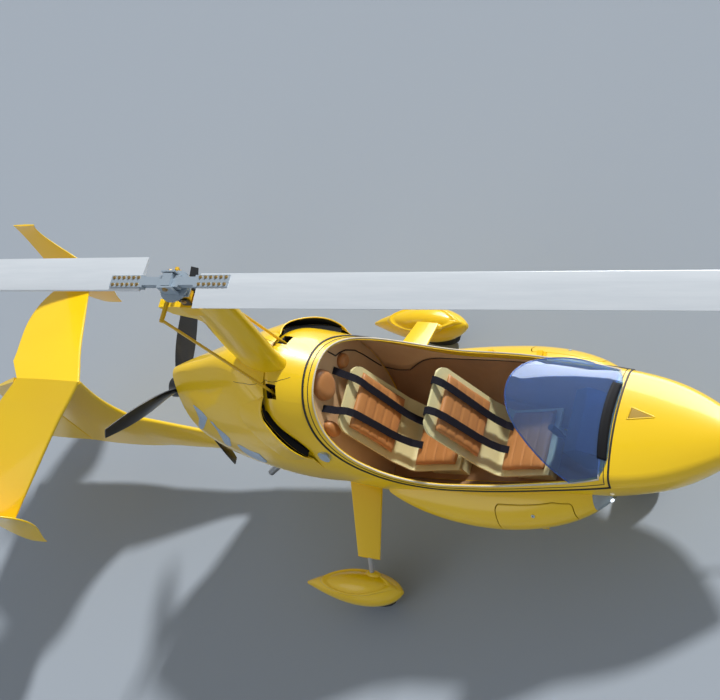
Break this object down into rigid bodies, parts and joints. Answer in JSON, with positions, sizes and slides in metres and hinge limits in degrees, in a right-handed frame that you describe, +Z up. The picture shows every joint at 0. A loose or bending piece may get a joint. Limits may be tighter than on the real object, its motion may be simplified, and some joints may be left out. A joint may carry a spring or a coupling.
{
  "type": "tandem two-seat gyroplane",
  "caption": "Tandem gyroplane with a smooth composite hull, hinged canopy, pusher propeller and high fin with drooping tailplane.",
  "frame": {"origin": "on the floor, under the middle of the rotor hub and on the plane of symmetry", "axes": "+X forward, +Y left, +Z up"},
  "size_m": [8.4, 1.9522, 2.642],
  "materials": {
    "hull_yellow": "gloss",
    "cabin_tan": "satin",
    "tinted_glass": "polished",
    "black_plastic": "matte",
    "engine_alloy": "satin",
    "dark_steel": "satin",
    "bright_metal": "polished",
    "tyre_black": "matte",
    "wheel_alloy": "satin",
    "prop_black": "satin",
    "head_alloy": "satin",
    "head_yellow": "satin",
    "blade_white": "gloss",
    "rod_yellow": "satin",
    "lamp_clear": "polished"
  },
  "bodies": {
    "airframe": {"tub_shell": "hull_yellow", "nose_shell": "hull_yellow", "engine_cowl": "hull_yellow", "rear_hull": "hull_yellow", "mast": "hull_yellow", "cockpit_floor": "cabin_tan", "rear_wall": "cabin_tan", "front_seat": "cabin_tan", "rear_seat": "cabin_tan", "front_cushion": "cabin_tan", "front_back_pad": "cabin_tan", "rear_cushion": "cabin_tan", "rear_back_pad": "cabin_tan", "headrest": "cabin_tan", "instrument_panel": "black_plastic", "front_stick": "black_plastic", "rear_stick": "black_plastic", "engine": "engine_alloy", "engine_mount": "dark_steel", "exhaust_pipe": "dark_steel", "filler_cap": "bright_metal", "pitot": "bright_metal", "nose_gear_tube": "dark_steel", "tail_boom": "hull_yellow", "mast_head": "head_alloy", "pod_left": "hull_yellow", "landing_lamp_left": "lamp_clear", "leg_left": "hull_yellow", "axle_strut_left": "dark_steel", "wheel_pant_left": "hull_yellow", "stabiliser_left": "hull_yellow", "winglet_left": "hull_yellow", "pod_right": "hull_yellow", "landing_lamp_right": "lamp_clear", "leg_right": "hull_yellow", "axle_strut_right": "dark_steel", "wheel_pant_right": "hull_yellow", "stabiliser_right": "hull_yellow", "winglet_right": "hull_yellow"},
    "canopy": {"canopy_frame": "hull_yellow", "windscreen": "tinted_glass"},
    "hatch_left": {"pod_hatch_left": "hull_yellow"},
    "hatch_right": {"pod_hatch_right": "hull_yellow"},
    "main_wheel_left": {"main_tyre_left": "tyre_black", "main_rim_left": "wheel_alloy"},
    "main_wheel_right": {"main_tyre_right": "tyre_black", "main_rim_right": "wheel_alloy"},
    "nose_leg": {"nose_fork": "dark_steel"},
    "nose_wheel": {"nose_tyre": "tyre_black", "nose_rim": "wheel_alloy"},
    "rudder": {"rudder": "hull_yellow"},
    "propeller": {"propeller": "prop_black"},
    "pitch_block": {"pitch_head": "head_yellow"},
    "roll_block": {"roll_head": "head_alloy"},
    "rotor_drive": {"rotor_shaft": "head_alloy"},
    "rotor": {"hub_bar": "head_alloy", "blade_fore": "blade_white", "blade_aft": "blade_white"},
    "push_rods": {"push_rods": "rod_yellow"}
  },
  "joints": [
    {"name": "canopy_hinge", "type": "hinge", "parent": "airframe", "child": "canopy", "pos_m": [1.08, 0.433, 0.806], "axis": [-1, 0, 0], "range_deg": [0, 80]},
    {"name": "pod_hatch_left_hinge", "type": "hinge", "parent": "airframe", "child": "hatch_left", "pos_m": [1.26, 0.484, 0.47], "axis": [-1, 0, 0], "range_deg": [0, 80]},
    {"name": "pod_hatch_right_hinge", "type": "hinge", "parent": "airframe", "child": "hatch_right", "pos_m": [1.26, -0.484, 0.47], "axis": [1, 0, 0], "range_deg": [0, 80]},
    {"name": "main_wheel_left_spin", "type": "hinge", "parent": "airframe", "child": "main_wheel_left", "pos_m": [0.086, 0.87, 0.17], "axis": [0, 1, 0], "continuous": true},
    {"name": "main_wheel_right_spin", "type": "hinge", "parent": "airframe", "child": "main_wheel_right", "pos_m": [0.086, -0.87, 0.17], "axis": [0, 1, 0], "continuous": true},
    {"name": "nose_steer", "type": "hinge", "parent": "airframe", "child": "nose_leg", "pos_m": [1.684, 0, 0.4], "axis": [0, 0, 1], "range_deg": [-25, 25]},
    {"name": "nose_wheel_spin", "type": "hinge", "parent": "nose_leg", "child": "nose_wheel", "pos_m": [1.66, 0, 0.128], "axis": [0, 1, 0], "continuous": true},
    {"name": "rudder_hinge", "type": "hinge", "parent": "airframe", "child": "rudder", "pos_m": [-2.361, 0, 0.24], "axis": [0.1397, 0, 0.9902], "range_deg": [-25, 25]},
    {"name": "propeller_spin", "type": "hinge", "parent": "airframe", "child": "propeller", "pos_m": [-0.934, 0, 1.18], "axis": [1, 0, 0], "continuous": true},
    {"name": "head_pitch", "type": "hinge", "parent": "airframe", "child": "pitch_block", "pos_m": [0, 0, 2.452], "axis": [0, -1, 0], "range_deg": [-3, 9]},
    {"name": "head_roll", "type": "hinge", "parent": "pitch_block", "child": "roll_block", "pos_m": [0, 0, 2.49], "axis": [1, 0, 0], "range_deg": [-6, 6]},
    {"name": "rotor_spin", "type": "hinge", "parent": "roll_block", "child": "rotor_drive", "pos_m": [0, 0, 2.55], "axis": [0, 0, 1], "continuous": true},
    {"name": "rotor_teeter", "type": "hinge", "parent": "rotor_drive", "child": "rotor", "pos_m": [0, 0, 2.622], "axis": [0, 1, 0], "range_deg": [-5, 5]},
    {"name": "push_rod_slide", "type": "slide", "parent": "airframe", "child": "push_rods", "axis": [0, 0, 1], "range_m": [-0.02, 0.008]}
  ],
  "couplings": [
    {"joint": "push_rod_slide", "follows": "head_pitch", "m_per_rad": -0.11}
  ]
}
